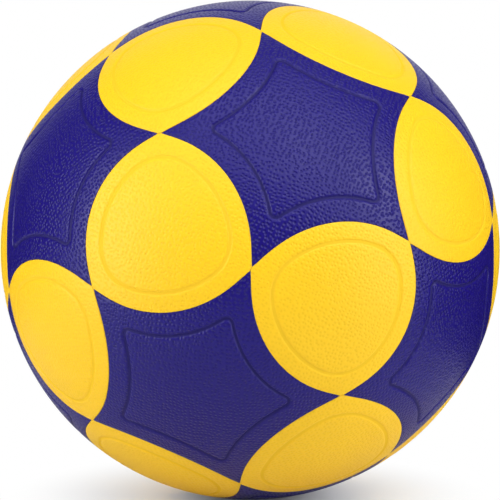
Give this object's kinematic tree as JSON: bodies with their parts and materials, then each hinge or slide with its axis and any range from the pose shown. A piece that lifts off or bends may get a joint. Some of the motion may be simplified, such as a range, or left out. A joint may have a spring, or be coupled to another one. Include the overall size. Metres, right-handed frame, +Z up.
{
  "type": "korfball ball",
  "caption": "Round sports ball with grooved five-pointed and rounded-triangle panels over a casing, a wound layer and an air bladder with a needle valve.",
  "frame": {"origin": "centre of the ball", "axes": "+Z up and -Y towards the camera, in the pose of the picture; the valve points up and to the back"},
  "size_m": [0.2198, 0.22, 0.22],
  "materials": {
    "yellow_cover": "satin synthetic leather with a fine pebble grain",
    "purple_cover": "satin synthetic leather with a fine pebble grain",
    "casing_rubber": "matt moulded rubber",
    "winding_nylon": "wound nylon thread",
    "bladder_butyl": "smooth butyl rubber",
    "valve_rubber": "matt moulded rubber",
    "core_rubber": "soft moulded rubber"
  },
  "bodies": {
    "root": {"yellow_panel_01": "yellow_cover", "yellow_panel_02": "yellow_cover", "yellow_panel_03": "yellow_cover", "yellow_panel_04": "yellow_cover", "yellow_panel_05": "yellow_cover", "yellow_panel_06": "yellow_cover", "yellow_panel_07": "yellow_cover", "yellow_panel_08": "yellow_cover", "yellow_panel_09": "yellow_cover", "yellow_panel_10": "yellow_cover", "yellow_panel_11": "yellow_cover", "yellow_panel_12": "yellow_cover", "yellow_panel_13": "yellow_cover", "yellow_panel_14": "yellow_cover", "yellow_panel_15": "yellow_cover", "yellow_panel_16": "yellow_cover", "yellow_panel_17": "yellow_cover", "yellow_panel_18": "yellow_cover", "yellow_panel_19": "yellow_cover", "yellow_panel_20": "yellow_cover", "purple_panel_01": "purple_cover", "purple_panel_02": "purple_cover", "purple_panel_03": "purple_cover", "purple_panel_04": "purple_cover", "purple_panel_05": "purple_cover", "purple_panel_06": "purple_cover", "purple_panel_07": "purple_cover", "purple_panel_08": "purple_cover", "purple_panel_09": "purple_cover", "purple_panel_10": "purple_cover", "purple_panel_11": "purple_cover", "valve_panel": "purple_cover", "casing": "casing_rubber", "winding": "winding_nylon", "bladder": "bladder_butyl", "valve_housing": "valve_rubber", "valve_core": "core_rubber"}
  },
  "joints": []
}
